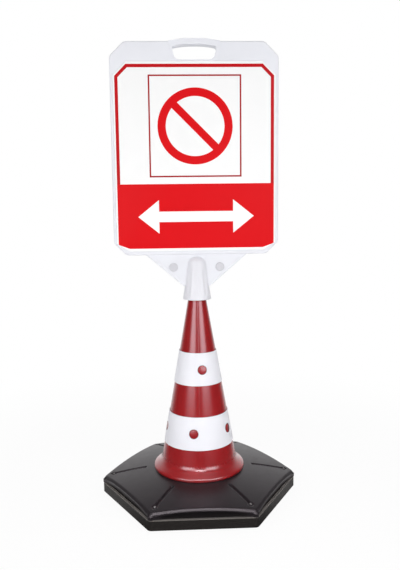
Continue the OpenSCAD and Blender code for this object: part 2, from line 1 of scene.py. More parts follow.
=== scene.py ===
import math
import bpy
import bmesh
from mathutils import Matrix, Vector


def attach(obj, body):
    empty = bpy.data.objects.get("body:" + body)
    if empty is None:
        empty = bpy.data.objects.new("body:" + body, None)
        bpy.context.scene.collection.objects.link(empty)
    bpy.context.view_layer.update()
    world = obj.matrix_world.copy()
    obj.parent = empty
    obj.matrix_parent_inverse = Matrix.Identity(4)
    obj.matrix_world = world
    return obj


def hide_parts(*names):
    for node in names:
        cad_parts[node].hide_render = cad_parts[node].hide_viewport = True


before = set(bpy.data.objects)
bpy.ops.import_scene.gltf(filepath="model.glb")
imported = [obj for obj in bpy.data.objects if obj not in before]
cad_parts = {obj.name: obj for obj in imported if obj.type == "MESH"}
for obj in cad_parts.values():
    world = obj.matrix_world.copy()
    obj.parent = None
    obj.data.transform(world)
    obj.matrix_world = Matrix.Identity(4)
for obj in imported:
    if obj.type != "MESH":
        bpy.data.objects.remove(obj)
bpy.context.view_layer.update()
scene = bpy.context.scene
scene.view_settings.view_transform = "Standard"

# Camera at the photograph's viewing angle; the sensor is the long, upright side
camera = {"place": (-0.0554, -1.4109, 0.66), "lens": 39.68, "sensor": 36,
          "tilt": 7.13, "turn": -2.53, "roll": -0.68}
lens = bpy.data.cameras.new("photoCamera")
lens.lens, lens.sensor_width = camera["lens"], camera["sensor"]
viewer = bpy.data.objects.new("photoCamera", lens)
scene.collection.objects.link(viewer)
viewer.matrix_world = (Matrix.Translation(camera["place"])
                       @ Matrix.Rotation(math.radians(camera["turn"]), 4, "Z")
                       @ Matrix.Rotation(math.radians(90 - camera["tilt"]), 4, "X")
                       @ Matrix.Rotation(math.radians(camera["roll"]), 4, "Z"))
scene.camera = viewer
print("camera set")


# Shader maths: a Wire is one output, and sums on it add Math nodes
class Wire:
    def __init__(self, finish, socket):
        self.finish, self.socket = finish, socket

    def sum(self, operation, *values):
        return self.finish.add("Math", {"operation": operation}, values)

    def __add__(self, other): return self.sum("ADD", self, other)
    def __radd__(self, other): return self.sum("ADD", other, self)
    def __sub__(self, other): return self.sum("SUBTRACT", self, other)
    def __rsub__(self, other): return self.sum("SUBTRACT", other, self)
    def __mul__(self, other): return self.sum("MULTIPLY", self, other)
    def __rmul__(self, other): return self.sum("MULTIPLY", other, self)
    def __truediv__(self, other): return self.sum("DIVIDE", self, other)
    def __abs__(self): return self.sum("ABSOLUTE", self)
    def most(self, other): return self.sum("MAXIMUM", self, other)
    def least(self, other): return self.sum("MINIMUM", self, other)
    def sine(self): return self.sum("SINE", self)
    def root(self): return self.sum("SQRT", self)
    def angle(self, other): return self.sum("ARCTAN2", self, other)
    def wrap(self, half): return self.sum("WRAP", self, half, -half)
    def far(self, other): return (self * self + other * other).root()

    def rise(self, low, high, start=0.0, end=1.0):  # soft step from start to end
        return self.finish.add("MapRange", {"interpolation_type": "SMOOTHSTEP"},
                               (self, low, high, start, end))

    def fall(self, low, high):
        return self.rise(low, high, 1, 0)


class Finish:
    def __init__(self, name, tree=None, **look):
        if tree is None:
            self.material = bpy.data.materials.new(name)
            self.material.use_nodes = True
            tree = self.material.node_tree
            self.shader = tree.nodes["Principled BSDF"]
        self.tree = tree
        for socket, value in look.items():
            self.set(socket, value)

    def add(self, kind, settings=None, inputs=(), output=0):
        node = self.tree.nodes.new("ShaderNode" + kind)
        for key, value in (settings or {}).items():
            setattr(node, key, value)
        for key, value in (inputs.items() if isinstance(inputs, dict) else enumerate(inputs)):
            self.feed(node.inputs[key], value)
        return Wire(self, node.outputs[output])

    def feed(self, socket, value):
        if isinstance(value, Wire):
            self.tree.links.new(value.socket, socket)
        else:
            socket.default_value = (*value, 1) if socket.type == "RGBA" and len(value) == 3 else value

    def set(self, socket, value):  # camelCase socket names: baseColor, coatWeight ...
        words = "".join(" " + c if c.isupper() else c for c in socket).split()
        title = " ".join(w[0].upper() + w[1:] for w in words).replace("Ior", "IOR")
        self.feed(self.shader.inputs[title], value)

    def at(self):
        if not hasattr(self, "place"):
            self.place = self.add("TexCoord", output="Object")
        return self.place

    def xyz(self):
        return [self.add("SeparateXYZ", None, [self.at()], axis) for axis in range(3)]

    def stretched(self, scale):
        return self.add("Mapping", None, {"Vector": self.at(), "Scale": scale})

    def noise(self, scale, detail=2.0, roughness=0.5, where=None):
        return self.add("TexNoise", None, {"Vector": where or self.at(), "Scale": scale, "Detail": detail,
                                           "Roughness": roughness}, "Fac")

    def blend(self, factor, a, b):
        return self.add("Mix", {"data_type": "RGBA"}, {0: factor, 6: a, 7: b}, 2)

    def mottle(self, look, where=None):  # tone and shade in soft clouds
        cloud = self.noise(*look["cloud"], where=where).rise(*look["cloudStep"])
        return self.blend(cloud, look["tone"], look["shade"])

    def uneven(self, base, swing, scale, detail):
        return base + swing * self.noise(scale, detail)

    def bump(self, height, distance, strength=1.0):
        self.set("normal", self.add("Bump", None, {"Height": height, "Distance": distance,
                                                   "Strength": strength}))


def ink(*levels):  # screen colour 0-255 to linear
    return tuple(c / 12.92 if c <= 0.04045 else ((c + 0.055) / 1.055) ** 2.4
                 for c in (level / 255 for level in levels))


# White moulded plastic of the board's casing; the socket is painted a little greyer as painted shade
boardLook = {"tone": ink(233, 234, 240), "shade": ink(229, 230, 236), "cloud": (9, 3),
             "cloudStep": (0.35, 0.75), "socket": ink(226, 226, 232), "socketFoot": 0.452, "socketTaper": 0.128,
             "socketR": (0.0326, 0.0336), "socketTop": (0.53, 0.552),
             "rough": (0.38, 0.1, 40, 4), "grain": (900, 2), "relief": (0.00006, 0.5)}
boardWhite = Finish("boardWhite", specularIorLevel=0.45)
bx, by, bz = boardWhite.xyz()
socketOut = bx.far(by) + (bz - boardLook["socketFoot"]) * boardLook["socketTaper"]
# painted shade: the socket's zone is mixed to a greyer tone
paintedSocketShade = socketOut.fall(*boardLook["socketR"]) * bz.fall(*boardLook["socketTop"])
boardWhite.set("baseColor", boardWhite.blend(paintedSocketShade, boardWhite.mottle(boardLook), boardLook["socket"]))
boardWhite.set("roughness", boardWhite.uneven(*boardLook["rough"]))
boardWhite.bump(boardWhite.noise(*boardLook["grain"]), *boardLook["relief"])

# Red moulded plastic of the cone: stacking scuffs along the wall, a mould seam down front and back,
# painted shade under the flange's lip and a flared foot that is rubbed smooth
coneLook = {"tone": ink(155, 11, 15), "shade": ink(144, 9, 12), "cloud": (14, 3), "cloudStep": (0.3, 0.8),
            "streak": (60, 5, 0.6), "stretch": (6, 6, 0.6),
            "scuff": ink(170, 60, 60), "scuffStep": (0.62, 0.8), "scuffMost": 0.06,
            "grime": ink(72, 14, 18), "lip": (0.0605, 0.064, 0.8, 0), "foot": (0.06, 0.11),
            "rough": 0.25, "streakRough": 0.02, "footRough": 0.03, "coat": (0.086, 0.1, 1, 0.5),
            "seam": (0.0, 0.0007), "seamHigh": 0.5, "grain": (700, 2), "grainHigh": 0.015,
            "streakHigh": 0.005, "relief": 0.0004}
coneRed = Finish("coneRed", specularIorLevel=0.94, specularTint=(0.97, 0.9, 1.0), coatRoughness=0.2)
cx, cz = coneRed.xyz()[::2]
streaks = coneRed.noise(*coneLook["streak"], coneRed.stretched(coneLook["stretch"]))
scuffed = coneRed.blend(streaks.rise(*coneLook["scuffStep"]) * coneLook["scuffMost"],
                        coneRed.mottle(coneLook), coneLook["scuff"])
# painted shade: the lower edge of the lip is mixed to a dark red
coneRed.set("baseColor", coneRed.blend(cz.rise(*coneLook["lip"]), scuffed, coneLook["grime"]))
coneRed.set("roughness", coneLook["rough"] + coneLook["streakRough"] * streaks
            + coneLook["footRough"] * cz.fall(*coneLook["foot"]))
coneRed.set("coatWeight", cz.rise(*coneLook["coat"]))
coneRed.bump(abs(cx).fall(*coneLook["seam"]) * coneLook["seamHigh"]
             + coneRed.noise(*coneLook["grain"]) * coneLook["grainHigh"]
             + streaks * coneLook["streakHigh"], coneLook["relief"])

# White retroreflective film of the sleeves: a fine lattice of prisms under a clear face; cut edges and a
# ring round each hole are painted dark red as painted shade
filmLook = {"tone": ink(229, 229, 235), "line": ink(219, 220, 226), "cell": 0.0034, "wrapR": 0.06,
            "lineStep": (0.0, 0.22), "lineMost": 0.6, "carrier": ink(105, 52, 58), "taper": 0.1764,
            "face": (0.1009, 0.1014), "ring": (0.0104, 0.0109),
            "holes": [(0.15936, 5, -101), (0.29836, 3, -81)],
            "rough": (0.36, 0.12, 30, 3), "lineRough": 0.1, "lineHigh": -1.0, "relief": (0.00008, 0.35)}
sleeveWhite = Finish("sleeveWhite", specularIorLevel=0.2)
sx, sy, sz = sleeveWhite.xyz()
around = sx.angle(sy) * filmLook["wrapR"]
slants = [abs((slant * (math.pi / filmLook["cell"])).sine()) for slant in (around + sz, around - sz)]
lines = slants[0].least(slants[1]).fall(*filmLook["lineStep"])
out = sx.far(sy)
face = (out + sz * filmLook["taper"]).rise(*filmLook["face"])
for z, count, turn in filmLook["holes"]:
    aside = out * (sy.angle(sx) - math.radians(turn)).wrap(math.pi / count)
    above = (sz - z) * math.hypot(1, filmLook["taper"])
    face = face * aside.far(above).rise(*filmLook["ring"])
lined = sleeveWhite.blend(lines * filmLook["lineMost"], filmLook["tone"], filmLook["line"])
# painted shade: cut edges and the rings round the holes take the dark red tone
sleeveWhite.set("baseColor", sleeveWhite.blend(face, filmLook["carrier"], lined))
sleeveWhite.set("roughness", sleeveWhite.uneven(*filmLook["rough"]) + filmLook["lineRough"] * lines)
sleeveWhite.bump(lines * filmLook["lineHigh"], *filmLook["relief"])

# Black cover: satin moulding with a fine leathery grain and a little dust; the pips are painted paler as
# painted highlights, and the recess under the bead is painted dark as painted shade
coverLook = {"tone": ink(30, 26, 29), "dust": ink(72, 66, 62), "worn": ink(128, 124, 124),
             "shadow": ink(12, 10, 11), "dusting": (26, 6, 0.65), "dustStep": (0.5, 0.85), "dustMost": 0.22,
             "pip": 0.1995, "pipEdge": (0.0018, 0.0032, 0.8, 0), "domeR": 0.91, "domeMid": -0.8446,
             "wallDrop": (0.0085, 0.0105), "wallFrom": (0.008, 0.03), "rough": (0.3, 0.1, 60, 4),
             "dustRough": 0.12, "pebble": 520, "pebbleHigh": 0.6, "pore": (1400, 2), "poreHigh": 0.4,
             "relief": (0.00012, 0.4)}
coverBlack = Finish("coverBlack", specularIorLevel=0.58, specularTint=(1.0, 0.89, 0.96))
kx, ky, kz = coverBlack.xyz()
out = kx.far(ky)
aside = out * ky.angle(kx).wrap(math.pi / 6)
worn = (out - coverLook["pip"]).far(aside).rise(*coverLook["pipEdge"])
drop = (coverLook["domeR"] ** 2 - out * out).root() + coverLook["domeMid"] - kz
wall = drop.rise(*coverLook["wallDrop"]) * abs(aside).rise(*coverLook["wallFrom"])
dust = coverBlack.noise(*coverLook["dusting"]).rise(*coverLook["dustStep"])
dusty = coverBlack.blend(dust * coverLook["dustMost"], coverLook["tone"], coverLook["dust"])
shaded = coverBlack.blend(wall, dusty, coverLook["shadow"])
# painted highlight: the pips are mixed to a paler grey
coverBlack.set("baseColor", coverBlack.blend(worn, shaded, coverLook["worn"]))
coverBlack.set("roughness", coverBlack.uneven(*coverLook["rough"]) + coverLook["dustRough"] * dust)
pebbles = coverBlack.add("TexVoronoi", {"feature": "SMOOTH_F1"},
                         {"Vector": coverBlack.at(), "Scale": coverLook["pebble"]}, "Distance")
pores = coverBlack.noise(*coverLook["pore"])
coverBlack.bump(pebbles * coverLook["pebbleHigh"] + pores * coverLook["poreHigh"], *coverLook["relief"])

# Tray: coarse recycled plastic with pale specks; the upper edge is painted paler as a painted highlight
trayLook = {"tone": ink(26, 21, 19), "speck": ink(80, 72, 64), "worn": ink(112, 107, 104),
            "specks": (380, 4, 0.7), "speckStep": (0.6, 0.74), "speckMost": 0.5, "edge": (0.0224, 0.0234),
            "rough": (0.55, 0.2, 90, 5), "edgeRough": 0.15, "grain": (260, 6, 0.7), "relief": (0.0006, 0.5)}
trayBlack = Finish("trayBlack", specularIorLevel=0.38)
specks = trayBlack.noise(*trayLook["specks"]).rise(*trayLook["speckStep"])
speckled = trayBlack.blend(specks * trayLook["speckMost"], trayLook["tone"], trayLook["speck"])
worn = trayBlack.xyz()[2].rise(*trayLook["edge"])
# painted highlight: the upper edge is mixed to a paler grey and made smoother
trayBlack.set("baseColor", trayBlack.blend(worn, speckled, trayLook["worn"]))
trayBlack.set("roughness", trayBlack.uneven(*trayLook["rough"]) - trayLook["edgeRough"] * worn)
trayBlack.bump(trayBlack.noise(*trayLook["grain"]), *trayLook["relief"])

# Small parts
rivetLook = {"tone": ink(214, 213, 219), "shade": ink(200, 200, 206), "cloud": (220, 3),
             "grain": (1100, 2), "relief": (0.0001, 0.4)}
rivetGrey = Finish("rivetGrey", roughness=0.45)
rivetGrey.set("baseColor", rivetGrey.blend(rivetGrey.noise(*rivetLook["cloud"]),
                                           rivetLook["tone"], rivetLook["shade"]))
rivetGrey.bump(rivetGrey.noise(*rivetLook["grain"]), *rivetLook["relief"])

zincLook = {"tone": ink(196, 197, 200), "shade": ink(160, 160, 160), "cloud": (420, 4), "cloudStep": (0.4, 0.7),
            "rough": (0.25, 0.2, 900, 3)}
screwZinc = Finish("screwZinc", metallic=0.95)
screwZinc.set("baseColor", screwZinc.mottle(zincLook))
screwZinc.set("roughness", screwZinc.uneven(*zincLook["rough"]))

rubberLook = {"tone": ink(34, 33, 33), "shade": ink(66, 63, 60), "cloud": (300, 5), "cloudStep": (0.55, 0.8),
              "grain": (700, 4), "relief": (0.0003, 0.6)}
padRubber = Finish("padRubber", roughness=0.8, specularIorLevel=0.3)
padRubber.set("baseColor", padRubber.mottle(rubberLook))
padRubber.bump(padRubber.noise(*rubberLook["grain"]), *rubberLook["relief"])

bushLook = {"tone": ink(120, 121, 124), "shade": ink(150, 150, 152), "cloud": (120, 5), "cloudStep": (0.5, 0.8),
            "stretch": (1, 1, 0.2), "grain": (900, 2), "relief": (0.0001, 0.4)}
bushGrey = Finish("bushGrey", roughness=0.5)
bushGrey.set("baseColor", bushGrey.mottle(bushLook, bushGrey.stretched(bushLook["stretch"])))
bushGrey.bump(bushGrey.noise(*bushLook["grain"]), *bushLook["relief"])

concreteLook = {"tone": ink(150, 149, 144), "pit": ink(104, 102, 98), "pits": (180, 6, 0.7),
                "pitStep": (0.45, 0.7), "relief": (0.0015, 0.6)}
concreteGrey = Finish("concreteGrey", roughness=0.9)
pits = concreteGrey.noise(*concreteLook["pits"])
concreteGrey.set("baseColor", concreteGrey.blend(pits.rise(*concreteLook["pitStep"]),
                                                 concreteLook["tone"], concreteLook["pit"]))
concreteGrey.bump(pits, *concreteLook["relief"])

# Printed sheet: border, frame line and lower field in red, with plain road-sign figures
printLook = {"paper": ink(250, 250, 250), "red": ink(222, 13, 22), "borderRed": ink(194, 17, 26),
             "lineRed": ink(166, 14, 21), "agedPaper": (0.7, 0.7, 0.72), "agedRed": (0.5, 0.01, 0.012),
             "age": (25, 3), "ageStep": (0.3, 0.8), "ageMost": 0.03,
             "halfWide": 0.1728, "low": 0.568, "high": 0.965, "topCut": 0.0247,
             "lowCutWide": 0.0245, "lowCutHigh": 0.0092, "border": 0.0072, "field": 0.7097,
             "frameHalf": 0.1011, "frameLow": 0.7242, "frameHigh": 0.9427, "frameLine": 0.0034,
             "ringOut": 0.082, "ringIn": 0.064, "bar": 0.0085,
             "arrowZ": 0.638, "arrowHalf": 0.128, "arrowHead": 0.046, "arrowShaft": 0.0115,
             "shaftIn": 0.9, "headSlope": 0.8, "headScale": 0.78, "edge": 0.0002,
             "rough": (0.44, 0.06, 60, 3), "inkRough": 0.06, "weave": (260, 2), "weaveHigh": 0.6,
             "inkHigh": 0.4, "relief": (0.00005, 0.4)}
labelPrint = Finish("labelPrint", specularIorLevel=0.12)
px, pz = labelPrint.xyz()[::2]
wide, diagonal = abs(px), math.sqrt(0.5)
topCorner = printLook["halfWide"] + printLook["high"] - printLook["topCut"]
lowCorner = printLook["halfWide"] - printLook["lowCutWide"]
cutLength = math.hypot(printLook["lowCutWide"], printLook["lowCutHigh"])
sheetEdge = (wide - printLook["halfWide"]).most(pz - printLook["high"]).most(printLook["low"] - pz)
sheetEdge = sheetEdge.most((wide + pz - topCorner) * diagonal)
sheetEdge = sheetEdge.most(((wide - lowCorner) * printLook["lowCutHigh"]
                            - (pz - printLook["low"]) * printLook["lowCutWide"]) * (1 / cutLength))


def inside(distance):  # 1 where a distance is negative, with a thin soft edge
    return distance.fall(-printLook["edge"], printLook["edge"])


border = inside(sheetEdge) * (1 - inside(sheetEdge + printLook["border"]))
field = inside(sheetEdge) * inside(pz - printLook["field"])
frameMid = (printLook["frameLow"] + printLook["frameHigh"]) / 2
frameEdge = (wide - printLook["frameHalf"]).most(abs(pz - frameMid) - (printLook["frameHigh"] - frameMid))
frameLine = inside(frameEdge) * (1 - inside(frameEdge + printLook["frameLine"]))
fromMid = px.far(pz - frameMid)
ring = inside(fromMid - printLook["ringOut"]) * (1 - inside(fromMid - printLook["ringIn"]))
slash = (inside(abs((px + (pz - frameMid)) * diagonal) - printLook["bar"])
         * inside(fromMid - printLook["ringOut"] + printLook["bar"]))
fromArrow = abs(pz - printLook["arrowZ"])
shaftEnd = printLook["arrowHalf"] - printLook["arrowHead"] * printLook["shaftIn"]
shaft = inside(fromArrow - printLook["arrowShaft"]) * inside(wide - shaftEnd)
headEdge = (fromArrow - (printLook["arrowHalf"] - wide) * printLook["headSlope"]) * printLook["headScale"]
heads = inside(headEdge) * inside((printLook["arrowHalf"] - printLook["arrowHead"]) - wide)
red = border.most(frameLine).most(ring).most(slash).most(field * (1 - shaft.most(heads)))
age = labelPrint.noise(*printLook["age"]).rise(*printLook["ageStep"]) * printLook["ageMost"]
paper = labelPrint.blend(age, printLook["paper"], printLook["agedPaper"])
printed = labelPrint.blend(age, printLook["red"], printLook["agedRed"])
printed = labelPrint.blend(border * (1 - field), printed, printLook["borderRed"])
printed = labelPrint.blend(frameLine, printed, printLook["lineRed"])
labelPrint.set("baseColor", labelPrint.blend(red, paper, printed))
labelPrint.set("roughness", labelPrint.uneven(*printLook["rough"]) + printLook["inkRough"] * red)
labelPrint.bump(labelPrint.noise(*printLook["weave"]) * printLook["weaveHigh"] + red * printLook["inkHigh"],
                *printLook["relief"])
print("finishes made:", len(bpy.data.materials))

# Mesh helpers; pieces are built in millimetres and scaled when they are finished
build = {"weld": 0.002, "flat": 0.001, "metres": 0.001}


def makePiece(name, bm, body, finish, nodes=(), sharp=38):
    bmesh.ops.remove_doubles(bm, verts=bm.verts, dist=build["weld"])
    bmesh.ops.recalc_face_normals(bm, faces=bm.faces)
    bmesh.ops.scale(bm, vec=(build["metres"],) * 3, verts=bm.verts)
    for face in bm.faces:
        face.smooth = True
    mesh = bpy.data.meshes.new(name)
    bm.to_mesh(mesh)
    bm.free()
    mesh.set_sharp_from_angle(angle=math.radians(sharp))
    mesh.materials.append(finish.material)
    piece = bpy.data.objects.new(name, mesh)
    scene.collection.objects.link(piece)
    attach(piece, body)
    if nodes:
        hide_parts(*nodes)
    print("piece:", name, len(mesh.polygons), "faces")


def ofKind(kind, elements):
    return [e for e in elements if isinstance(e, kind)]


def added(bm, before):  # vertices that are new since before
    return [v for v in bm.verts if v not in before]


def outline(bm, corners, y=0.0, segments=8):  # face in X and Z from corners (x, z, rounding)
    before = set(bm.faces)
    verts = [bm.verts.new((x, y, z)) for x, z, r in corners]
    bm.faces.new(verts)
    count = len(corners)
    for i, (x, z, r) in enumerate(corners):
        back = Vector((corners[i - 1][0] - x, corners[i - 1][1] - z)).normalized()
        ahead = Vector((corners[(i + 1) % count][0] - x, corners[(i + 1) % count][1] - z)).normalized()
        if r:
            bmesh.ops.bevel(bm, geom=[verts[i]], offset=r / math.tan(back.angle(ahead) / 2),
                            offset_type="OFFSET", segments=segments, profile=0.5, affect="VERTICES",
                            material=-1, clamp_overlap=False)
    return max((f for f in bm.faces if f not in before), key=lambda f: f.calc_area())


def bothSides(right):  # corners on the right, mirrored to the left in order
    return right + [(-x, z, r) for x, z, r in reversed(right)]


def loopOf(bm, corners, y, segments=8):
    face = outline(bm, corners, y, segments)
    edges = face.edges[:]
    bmesh.ops.delete(bm, geom=[face], context="FACES_ONLY")
    return edges


def roundOff(bm, edges, offset, segments):
    bmesh.ops.bevel(bm, geom=edges, offset=offset, offset_type="OFFSET", segments=segments, profile=0.5,
                    affect="EDGES", material=-1, clamp_overlap=True)


def push(bm, faces, vector):  # extrude faces along a vector and give back the moved ones
    made = bmesh.ops.extrude_face_region(bm, geom=faces)["geom"]
    bmesh.ops.translate(bm, vec=vector, verts=ofKind(bmesh.types.BMVert, made))
    return ofKind(bmesh.types.BMFace, made)


def pull(bm, edges, vector):  # extrude open edges along a vector and give back the moved ones
    made = bmesh.ops.extrude_edge_only(bm, edges=edges)["geom"]
    bmesh.ops.translate(bm, vec=vector, verts=ofKind(bmesh.types.BMVert, made))
    return ofKind(bmesh.types.BMEdge, made)


def fillBetween(bm, edges):
    made = bmesh.ops.triangle_fill(bm, use_beauty=True, use_dissolve=False, edges=edges)["geom"]
    return ofKind(bmesh.types.BMFace, made)


def level(verts, y):
    return all(abs(v.co.y - y) < build["flat"] for v in verts)


def flatFace(bm, y):  # the large face in a plane of constant y
    return max((f for f in bm.faces if level(f.verts, y)), key=lambda f: f.calc_area())


def lathe(bm, points, steps, angle=math.tau, start=0.0, closed=False):  # turn a profile of (r, z) about Z
    verts = [bm.verts.new((r * math.cos(start), r * math.sin(start), z)) for r, z in points]
    edges = [bm.edges.new(pair) for pair in zip(verts, verts[1:])]
    if closed:
        edges.append(bm.edges.new((verts[-1], verts[0])))
    bmesh.ops.spin(bm, geom=verts + edges, cent=(0, 0, 0), axis=(0, 0, 1), angle=angle, steps=steps,
                   use_merge=angle == math.tau, use_normal_flip=False, use_duplicate=False)


def arc(midR, midZ, r, start, end, steps):  # profile points along an arc, in degrees
    angles = [math.radians(start + (end - start) * k / steps) for k in range(steps + 1)]
    return [(midR + r * math.cos(a), midZ + r * math.sin(a)) for a in angles]


def turnedCorner(a, p, b, r, steps):  # profile points that round the corner p
    u, v = (Vector(a) - Vector(p)).normalized(), (Vector(b) - Vector(p)).normalized()
    half = u.angle(v) / 2
    centre = Vector(p) + (u + v).normalized() * (r / math.sin(half))
    first = Vector(p) + u * (r / math.tan(half)) - centre
    sweep = (math.pi - 2 * half) * (1 if u.x * v.y - u.y * v.x < 0 else -1)
    return [tuple(centre + Matrix.Rotation(sweep * k / steps, 2) @ first) for k in range(steps + 1)]


def softStep(value, low, high):
    t = min(max((value - low) / (high - low), 0), 1)
    return t * t * (3 - 2 * t)


# Cover: one sixth is a grid centred on a corner, then turned round. A row of it is an inset from the
# hexagon's side with a drop below the dome or, on the wall, with a fixed height
cover = {"apothem": 191.856, "corner": 7, "cornerZ": 38, "domeR": 910,
         "bead": [((-8, 0), (-3, 0), (1, -6), 3), ((-3, 0), (1, -6), (-4, -9.5), 2.2),
                  ((1, -6), (-4, -9.5), (-4, -30), 1.5)], "beadSteps": 6,
         "wallIn": 4, "wall": 3, "wallTop": 26.5, "wallFoot": 24.1,
         "under": 4.5, "underRows": [14, 40, 90, 130], "hubR": 60,
         "cornerOut": 4, "flushDrop": 6, "flushSlope": 3, "runFrom": 2, "runTo": 0.8,
         "grooveStart": (121.5, 126.5), "grooveEnd": (195.5, 199.5), "grooveSide": (1, 5), "grooveDepth": 3.8,
         "dimple": 199.5, "dimpleEdge": (4.6, 7.8), "dimpleDepth": 1.8, "pipR": 3.4, "pip": 3,
         "rows": ([30, 60, 92, 100, 108, 116, 119, 120.5, 121.5, 122.5, 123.5, 124.5, 125.5, 127, 130, 138, 146,
                   154, 162, 170, 178, 184, 187, 188.2] + [189 + 0.8 * k for k in range(22)]
                  + [207.6, 209.4, 211.4]),
         "lanes": [0.7 * k for k in range(13)], "spread": 14, "weld": 0.01, "sharp": 75}
cos30, tan30 = math.cos(math.pi / 6), math.tan(math.pi / 6)
domeMid = cover["cornerZ"] - math.sqrt(cover["domeR"] ** 2 - (cover["apothem"] / cos30) ** 2)


def domeZ(x, y):
    return domeMid + math.sqrt(cover["domeR"] ** 2 - x * x - y * y)


def hexX(inset, y):  # how far out the rounded hexagon lies beside its corner's axis
    r = max(cover["corner"] - inset, 1)
    mid = (cover["apothem"] - inset - r) / cos30
    return mid + (math.sqrt(r * r - y * y) if abs(y) <= r / 2 else r * cos30 - (abs(y) - r / 2) * tan30)


def grooveDip(x, y):  # depth of the groove and its dimple, less the pip
    along = softStep(x, *cover["grooveStart"]) * (1 - softStep(x, *cover["grooveEnd"]))
    lane = 1 - softStep(abs(y), *cover["grooveSide"])
    fromPip = math.hypot(x - cover["dimple"], y)
    dimple = cover["dimpleDepth"] * (1 - softStep(fromPip, *cover["dimpleEdge"]))
    pip = cover["pip"] * math.sqrt(max(1 - (fromPip / cover["pipR"]) ** 2, 0))
    return max(cover["grooveDepth"] * along * lane, dimple) - pip


wallIn, underIn = cover["wallIn"], cover["wallIn"] + cover["wall"]
rows = [(cover["apothem"] - (r + 1 / cos30 - 1) * cos30, 0, None) for r in cover["rows"]]
rows += [(-x, -h, None) for bend in cover["bead"] for x, h in turnedCorner(*bend, cover["beadSteps"])]
rows += [(wallIn, 0, cover["wallTop"]), (wallIn, 0, cover["wallFoot"]), (underIn, 0, cover["wallFoot"])]
rows += [(inset, cover["under"], None) for inset in [underIn] + cover["underRows"] + [rows[0][0]]]
lanes = cover["lanes"]
laneCount = len(lanes) + cover["spread"] - 1
bm = bmesh.new()
bmesh.ops.create_grid(bm, x_segments=len(rows) - 1, y_segments=2 * laneCount, size=1)
for vert in bm.verts:
    lane = round((vert.co.y + 1) * laneCount) - laneCount
    inset, drop, height = rows[round((vert.co.x + 1) / 2 * (len(rows) - 1))]
    k = abs(lane)
    if drop or height:  # the recess under the bead runs out towards the corners
        flush = inset - drop / cover["flushSlope"]
        if height or drop > cover["flushDrop"]:
            flush = max(inset - wallIn, 0) - cover["cornerOut"]
        inset = flush + (inset - flush) * softStep(k, cover["runFrom"], laneCount * cover["runTo"])
    reach = (cover["apothem"] - inset) / 2
    y = lanes[k] if k < len(lanes) else lanes[-1] + (reach - lanes[-1]) * (k - len(lanes) + 1) / cover["spread"]
    x = hexX(inset, y)
    y = math.copysign(y, lane)
    z = height
    if height is None:
        z = domeZ(x, y) - drop - (0 if drop else grooveDip(x, y))
    vert.co = (x, y, z)
bmesh.ops.spin(bm, geom=bm.verts[:] + bm.edges[:] + bm.faces[:], cent=(0, 0, 0), axis=(0, 0, 1),
               angle=math.radians(300), steps=5, use_duplicate=True)
bmesh.ops.remove_doubles(bm, verts=bm.verts, dist=cover["weld"])
hub = [e for e in bm.edges if e.is_boundary and e.calc_length() and e.verts[0].co.xy.length < cover["hubR"]]
bmesh.ops.edgeloop_fill(bm, edges=hub)
makePiece("cover_shell", bm, "stand", coverBlack, ["base_cover"], cover["sharp"])

# Cone: the turned wall with its flared foot, and the studs that fill the sleeves' holes
cone = {"seatZ": 59.36, "lift": 0.15, "tipZ": 495.36, "tipR": 12.75, "tipRound": 1.2, "footR": 86.2,
        "flareH": 20, "flangeR": 106.3, "lipH": 6.5, "lipIn": 3,
        "lipEdge": [(3, 0.4), (1.2, 0.15), (0.3, 0.05)],
        "wall": 3, "innerDrop": 1, "innerLip": 5, "innerRound": (22, 10), "outerRound": (7, 12),
        "rings": [7, 10, 16, 40, 120, 240, 340, 395], "steps": 144, "sharp": 50,
        "studR": 9.1, "studOut": 0.5, "studRound": 0.8, "studIn": 1.5, "studSteps": 40,
        "studs": [(159.36, 5, -11), (298.36, 3, 9)]}
taper = (cone["footR"] - cone["tipR"]) / (cone["tipZ"] - cone["seatZ"] - cone["flareH"])
flange = (cone["flangeR"] - cone["lipIn"], cone["seatZ"] + cone["lift"])
shoulder = (cone["flangeR"], cone["seatZ"] + cone["lipH"])
brim = (cone["footR"], cone["seatZ"] + cone["flareH"])
tip = (cone["tipR"], cone["tipZ"])
profile = [(flange[0] - inward, flange[1] + up) for inward, up in cone["lipEdge"]]
profile += turnedCorner(flange, shoulder, brim, *cone["outerRound"])
profile += turnedCorner(shoulder, brim, tip, *cone["innerRound"])
profile += [(brim[0] - h * taper, brim[1] + h) for h in cone["rings"]]
profile += arc(tip[0] - cone["tipRound"], tip[1] - cone["tipRound"], cone["tipRound"], 0, 90, 5)
profile += [(tip[0] - cone["wall"], tip[1]), (brim[0] - cone["wall"], brim[1] - cone["innerDrop"]),
            (shoulder[0] - cone["innerLip"], shoulder[1] - cone["innerDrop"])]
bm = bmesh.new()
lathe(bm, profile, cone["steps"], closed=True)
stud = [(0, cone["studOut"])]
stud += arc(cone["studR"] - cone["studRound"], cone["studOut"] - cone["studRound"], cone["studRound"], 90, 0, 4)
stud += [(cone["studR"], -cone["studIn"]), (0, -cone["studIn"])]
for z, count, turn in cone["studs"]:
    r = cone["tipR"] + (cone["tipZ"] - z) * taper
    for k in range(count):
        before = set(bm.verts)
        lathe(bm, stud, cone["studSteps"])
        place = (Matrix.Rotation(math.radians(turn - 90 + 360 * k / count), 4, "Z")
                 @ Matrix.Translation((r, 0, z)) @ Matrix.Rotation(math.pi / 2 - math.atan(taper), 4, "Y"))
        bmesh.ops.transform(bm, matrix=place, verts=added(bm, before))
makePiece("cone_shell", bm, "stand", coneRed, ["cone_body"], cone["sharp"])

